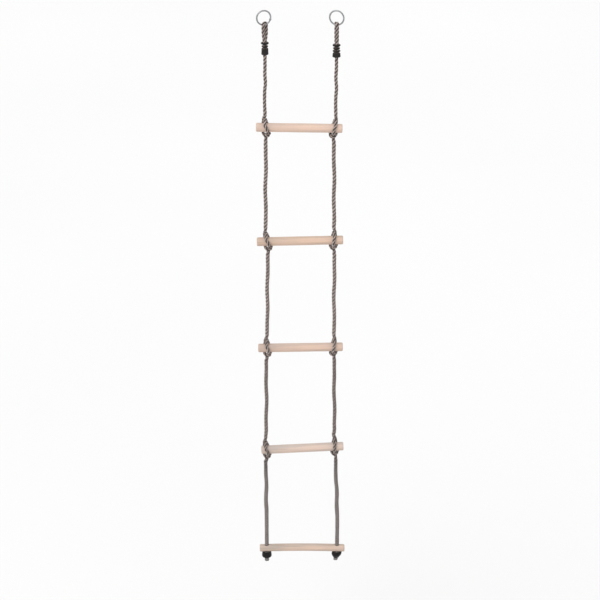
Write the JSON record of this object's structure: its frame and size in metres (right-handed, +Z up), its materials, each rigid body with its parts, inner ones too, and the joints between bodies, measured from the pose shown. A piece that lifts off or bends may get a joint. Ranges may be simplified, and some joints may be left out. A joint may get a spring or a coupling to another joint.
{
  "type": "rope ladder",
  "caption": "Hanging rope ladder: wooden rungs hitched into twisted ropes, with a steel ring and screw clamp atop each rope and bell-shaped end caps under the bottom rung.",
  "frame": {"origin": "middle of the ladder's underside, level with the tips of the two rope ends", "axes": "+Z up along the hanging ropes, X along the rungs, -Y the front, as the ladder hangs at rest"},
  "size_m": [0.3147, 0.0538, 2.0999],
  "materials": {
    "pine": "smooth turned pine, unvarnished, pale with a pink cast",
    "rope": "three-strand twisted synthetic rope, grey-brown, matt",
    "sealed_rope": "melted and spread rope end, dark grey",
    "galvanised_steel": "bright zinc-plated round wire, butt welded",
    "black_plastic": "black moulded plastic, slightly glossy",
    "grey_plastic": "dark grey moulded plastic, hidden inside"
  },
  "bodies": {
    "rings": {"ring_left": "galvanised_steel", "ring_right": "galvanised_steel"},
    "top_ropes": {"top_rope_left": "rope", "top_rope_right": "rope", "clamp_body_left": "black_plastic", "clamp_body_right": "black_plastic"},
    "collet_left": {"clamp_collet_left": "grey_plastic"},
    "nut_left": {"clamp_nut_left": "black_plastic"},
    "collet_right": {"clamp_collet_right": "grey_plastic"},
    "nut_right": {"clamp_nut_right": "black_plastic"},
    "rung_1": {"rung_1": "pine", "hitch_1_left": "rope", "hitch_1_right": "rope"},
    "span_1_upper": {"span_1_upper_left": "rope", "span_1_upper_right": "rope", "span_1_bend_left": "rope", "span_1_bend_right": "rope"},
    "span_1_lower": {"span_1_lower_left": "rope", "span_1_lower_right": "rope"},
    "rung_2": {"rung_2": "pine", "hitch_2_left": "rope", "hitch_2_right": "rope"},
    "span_2_upper": {"span_2_upper_left": "rope", "span_2_upper_right": "rope", "span_2_bend_left": "rope", "span_2_bend_right": "rope"},
    "span_2_lower": {"span_2_lower_left": "rope", "span_2_lower_right": "rope"},
    "rung_3": {"rung_3": "pine", "hitch_3_left": "rope", "hitch_3_right": "rope"},
    "span_3_upper": {"span_3_upper_left": "rope", "span_3_upper_right": "rope", "span_3_bend_left": "rope", "span_3_bend_right": "rope"},
    "span_3_lower": {"span_3_lower_left": "rope", "span_3_lower_right": "rope"},
    "rung_4": {"rung_4": "pine", "hitch_4_left": "rope", "hitch_4_right": "rope"},
    "span_4_upper": {"span_4_upper_left": "rope", "span_4_upper_right": "rope", "span_4_bend_left": "rope", "span_4_bend_right": "rope"},
    "span_4_lower": {"span_4_lower_left": "rope", "span_4_lower_right": "rope"},
    "rope_tails": {"tail_rope_left": "rope", "tail_rope_right": "rope", "end_cap_left": "black_plastic", "end_cap_right": "black_plastic", "grip_wedge_left": "grey_plastic", "grip_wedge_right": "grey_plastic", "rope_tip_left": "sealed_rope", "rope_tip_right": "sealed_rope"},
    "rung_5": {"rung_5": "pine"}
  },
  "joints": [
    {"name": "ladder_swing", "type": "hinge", "parent": "rings", "child": "top_ropes", "pos_m": [0, 0, 2.049], "axis": [1, 0, 0], "range_deg": [-80, 80]},
    {"name": "bend_above_rung_1", "type": "hinge", "parent": "top_ropes", "child": "rung_1", "pos_m": [0, 0, 1.7499], "axis": [-1, 0, 0], "range_deg": [-75, 75]},
    {"name": "nut_left_travel", "type": "slide", "parent": "top_ropes", "child": "collet_left", "axis": [0, 0, 1], "range_m": [-0.008, 0]},
    {"name": "nut_left_turn", "type": "hinge", "parent": "collet_left", "child": "nut_left", "pos_m": [-0.1178, 0, 1.9617], "axis": [0, 0, 1], "range_deg": [-360.5, 0.5]},
    {"name": "nut_right_travel", "type": "slide", "parent": "top_ropes", "child": "collet_right", "axis": [0, 0, 1], "range_m": [-0.008, 0]},
    {"name": "nut_right_turn", "type": "hinge", "parent": "collet_right", "child": "nut_right", "pos_m": [0.121, 0, 1.9547], "axis": [0, 0, 1], "range_deg": [-360.5, 0.5]},
    {"name": "bend_below_rung_1", "type": "hinge", "parent": "rung_1", "child": "span_1_upper", "pos_m": [0, 0, 1.6239], "axis": [-1, 0, 0], "range_deg": [-75, 75]},
    {"name": "fold_span_1", "type": "hinge", "parent": "span_1_upper", "child": "span_1_lower", "pos_m": [0, 0, 1.48085], "axis": [1, 0, 0], "range_deg": [-150, 150], "deforming": ["span_1_bend_left", "span_1_bend_right"]},
    {"name": "bend_above_rung_2", "type": "hinge", "parent": "span_1_lower", "child": "rung_2", "pos_m": [0, 0, 1.3378], "axis": [-1, 0, 0], "range_deg": [-75, 75]},
    {"name": "bend_below_rung_2", "type": "hinge", "parent": "rung_2", "child": "span_2_upper", "pos_m": [0, 0, 1.2118], "axis": [-1, 0, 0], "range_deg": [-75, 75]},
    {"name": "fold_span_2", "type": "hinge", "parent": "span_2_upper", "child": "span_2_lower", "pos_m": [0, 0, 1.0712], "axis": [1, 0, 0], "range_deg": [-150, 150], "deforming": ["span_2_bend_left", "span_2_bend_right"]},
    {"name": "bend_above_rung_3", "type": "hinge", "parent": "span_2_lower", "child": "rung_3", "pos_m": [0, 0, 0.9306], "axis": [-1, 0, 0], "range_deg": [-75, 75]},
    {"name": "bend_below_rung_3", "type": "hinge", "parent": "rung_3", "child": "span_3_upper", "pos_m": [0, 0, 0.8046], "axis": [-1, 0, 0], "range_deg": [-75, 75]},
    {"name": "fold_span_3", "type": "hinge", "parent": "span_3_upper", "child": "span_3_lower", "pos_m": [0, 0, 0.66645], "axis": [1, 0, 0], "range_deg": [-150, 150], "deforming": ["span_3_bend_left", "span_3_bend_right"]},
    {"name": "bend_above_rung_4", "type": "hinge", "parent": "span_3_lower", "child": "rung_4", "pos_m": [0, 0, 0.5283], "axis": [-1, 0, 0], "range_deg": [-75, 75]},
    {"name": "bend_below_rung_4", "type": "hinge", "parent": "rung_4", "child": "span_4_upper", "pos_m": [0, 0, 0.4023], "axis": [-1, 0, 0], "range_deg": [-75, 75]},
    {"name": "fold_span_4", "type": "hinge", "parent": "span_4_upper", "child": "span_4_lower", "pos_m": [0, 0, 0.302], "axis": [1, 0, 0], "range_deg": [-150, 150], "deforming": ["span_4_bend_left", "span_4_bend_right"]},
    {"name": "bend_above_rung_5", "type": "hinge", "parent": "span_4_lower", "child": "rope_tails", "pos_m": [0, 0, 0.2017], "axis": [-1, 0, 0], "range_deg": [-75, 75]},
    {"name": "bottom_rung_slide", "type": "slide", "parent": "rope_tails", "child": "rung_5", "axis": [0, 0, 1], "range_m": [0, 0.11]}
  ],
  "couplings": [
    {"joint": "nut_left_turn", "follows": "nut_left_travel", "rad_per_m": 785.4},
    {"joint": "nut_right_turn", "follows": "nut_right_travel", "rad_per_m": 785.4}
  ]
}
